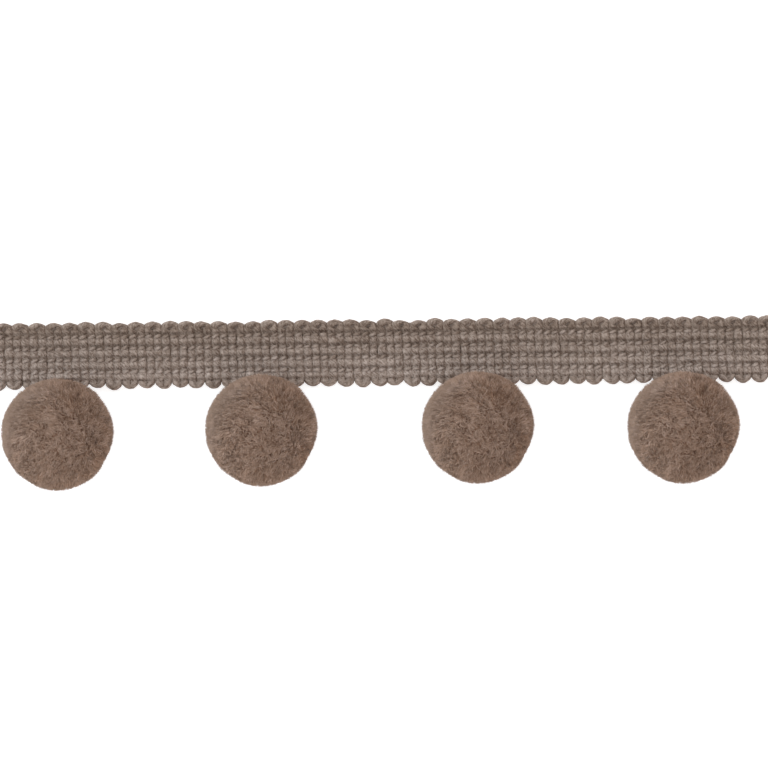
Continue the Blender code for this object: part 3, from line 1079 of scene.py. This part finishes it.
def lay_pile(tie, draw):
    """The fibres: directions of their roots and tips, the tips' reach, small clumps and looseness."""
    roots = sphere_points(FIBRES, ROOT_SPREAD, draw)
    small = sphere_points(SMALL_CLUMPS, SMALL_CLUMP_SPREAD, draw)
    large = sphere_points(LARGE_CLUMPS, LARGE_CLUMP_SPREAD, draw)
    clump = nearest_of(roots, small)
    lean = draw.normal(0.0, LARGE_CLUMP_LEAN, large.shape)[nearest_of(roots, large)]
    lean += draw.normal(0.0, SMALL_CLUMP_LEAN, small.shape)[clump]
    own_lean = draw.normal(0.0, FIBRE_LEAN, roots.shape)
    loose = 1.0 - CALMER * side_share(roots, SMOOTH_AND_SHEEN_SIDE, BRUSHED_ROOTS)
    tips = roots + loose[:, None] * (CLUMP_PULL * (small[clump] - roots) + lean + own_lean)
    tips, hollow = part_pile(unit(tips + combed_lean(roots)))
    reach = rim_reach(tips) + WAVE_DEPTH * soft_noise(tips, WAVE_REACH, WAVES, draw) - hollow
    own_reach = draw.normal(0.0, CLUMP_DEPTH, SMALL_CLUMPS)[clump]
    own_reach += draw.normal(0.0, FIBRE_DEPTH, FIBRES)
    off_tie = np.linalg.norm(np.cross(tips, tie), axis=1) * POMPOM_RADIUS > TIE_PARTING
    keep = off_tie | (tips @ tie < 0.0)
    return Pile(*(values[keep] for values in (roots, tips, reach + own_reach, clump, loose)))


def fibre_points(pile, draw):
    """Each fibre's points about the ball's middle: three corners on the bed, and its tip."""
    base = pile.roots * (POMPOM_RADIUS - PILE_DEPTH)
    top = pile.tips * pile.reach[:, None]
    top[:, 2] = np.maximum(top[:, 2], FIBRE_FLOOR_GAP - CENTRE_HEIGHT)
    axis = unit(top - base)
    side = unit(np.cross(axis, unit(draw.normal(0.0, 1.0, axis.shape))))
    other = np.cross(axis, side)
    points = np.empty((len(base), 4, 3))
    for corner in range(3):
        turn = 2.0 * math.pi * corner / 3.0
        spoke = math.cos(turn) * side + math.sin(turn) * other
        points[:, corner] = base + spoke * FIBRE_WIDTH / 2
    points[:, 3] = top
    return points


def fibre_tone(pile, draw):
    """Each fibre's brightness, from 0 to 1."""
    contrast = np.interp(1.0 - np.abs(pile.roots[:, 2]), CONTRAST_PLACES, CONTRASTS)
    tone = contrast * draw.normal(0.0, FIBRE_TONE_SPREAD, len(contrast))
    tone += draw.normal(0.0, CLUMP_TONE_SPREAD, SMALL_CLUMPS)[pile.clump]
    lively = 1.0 + LIVELIER * side_share(pile.roots, LIVELY_SIDE, LIVELY_ROOTS)
    return np.clip(0.5 + pile.loose * lively * tone + patch_tone(pile.roots), 0.0, 1.0)


def fibre_normals(points, loose, draw):
    """The normals at the fibres' points: straight out of the ball, turned a little for each fibre."""
    turned = FIBRE_TURN * loose[:, None] * unit(draw.normal(0.0, 1.0, (len(loose), 3)))
    return unit(unit(points.reshape(-1, 3)) + np.repeat(turned, 4, axis=0))


def make_pile(number, pompom, material):
    """The cut pile of one pompom. All four have the same seed, as the photo repeats one pompom."""
    draw = np.random.default_rng(seed=101)
    pile = lay_pile(tie_direction(pompom), draw)
    points = fibre_points(pile, draw)
    tone = fibre_tone(pile, draw)
    normals = fibre_normals(points, pile.loose, draw)
    first = (np.arange(len(points)) * 4)[:, None]
    piece = mesh_object(
        f"pile_{number}",
        points.reshape(-1, 3) + pompom_centre(pompom),
        [np.concatenate([first + np.array(face) for face in FIBRE_FACES])],
        material,
        {
            "tip": np.tile([0.0, 0.0, 0.0, 1.0], len(points)),
            "fibre": np.repeat(tone, 4),
            # Painted sheen on the side smoothed by brushing.
            "painted_sheen": np.repeat(side_share(pile.tips, SMOOTH_AND_SHEEN_SIDE, SHEEN_TIPS), 4),
        },
        normals=normals,
    )
    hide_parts(f"pompom_{number}")


# How far the bed rises over the fibres' roots, and all that its points hold for the pile's material:
# low, so that the bed shows as painted shade deep in the pile.
BED_COVER = 0.25 * MM
BED_SHADE_VALUE = 0.05


def make_bed(number, pompom, material):
    """The closed ball that the fibres stand on, painted dark as shade deep in the pile."""
    radius = POMPOM_RADIUS - PILE_DEPTH + BED_COVER
    bpy.ops.mesh.primitive_ico_sphere_add(subdivisions=4, radius=radius)
    bed = bpy.context.object
    bed.name = f"pile_bed_{number}"
    bed.location = pompom_centre(pompom)
    bed.data.materials.append(material)
    for title in ("tip", "fibre", "painted_sheen"):
        attribute = bed.data.attributes.new(title, "FLOAT", "POINT")
        attribute.data.foreach_set("value", np.full(len(bed.data.vertices), BED_SHADE_VALUE, np.float32))
    bed.data.shade_smooth()
    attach(bed, "root")


# The tie: where it starts, past the braid's edge and above the floor, how far from the core it ends,
# its radius, the space between its rings, their corners, its twist and its tone.
TIE_PAST_EDGE = 0.72 * MM
TIE_HEIGHT = 0.68 * MM
TIE_END_GAP = 0.3 * MM
TIE_RADIUS = 0.5 * MM
TIE_STEP = 0.15 * MM
TIE_SIDES = 18
TIE_TWIST = Twist(plies=3, depth=0.16, pitch=3.0 * MM)
TIE_TONE = 0.9


def tie_start(pompom):
    """Where the tie leaves the braid: at the tip of the lobe nearest to the pompom."""
    lobe = round((pompom.along - COLUMN_LEAN / 2) / SCALLOP_PITCH - 0.5)
    x = (lobe + 0.5) * SCALLOP_PITCH + COLUMN_LEAN / 2
    y = -BRAID_WIDTH / 2 - TIE_PAST_EDGE
    return np.array((x, y, float(lift(np.array(x), np.array(y))) + TIE_HEIGHT))


def tie_direction(pompom):
    """The direction from the ball's middle to where its tie starts."""
    way = tie_start(pompom) - pompom_centre(pompom)
    return way / np.linalg.norm(way)


def make_tie(number, pompom, material):
    """The thread that holds a pompom, from the braid's edge to the core."""
    end = pompom_centre(pompom) + tie_direction(pompom) * (CORE_RADIUS + TIE_END_GAP)
    line = np.stack([tie_start(pompom), end])
    path, run = spaced_evenly(line, line, TIE_STEP)
    side, up = round_section(path, TIE_RADIUS)
    yarn = swept_yarn(path, side, up, up, run, TIE_SIDES, TIE_TWIST)
    shade = np.full(len(yarn.points), TIE_TONE)
    tie = yarn_object(f"tie_thread_{number}", yarn, shade, material)
    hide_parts(f"tie_{number}")


def make_pompoms():
    pile = pile_material()
    thread = yarn_material(TIE_LOOK)
    for number, pompom in enumerate(POMPOMS, start=1):
        make_pile(number, pompom, pile)
        make_bed(number, pompom, pile)
        make_tie(number, pompom, thread)


make_camera()
make_floor()
make_sky()
make_key_light()
make_braid()
make_pompoms()
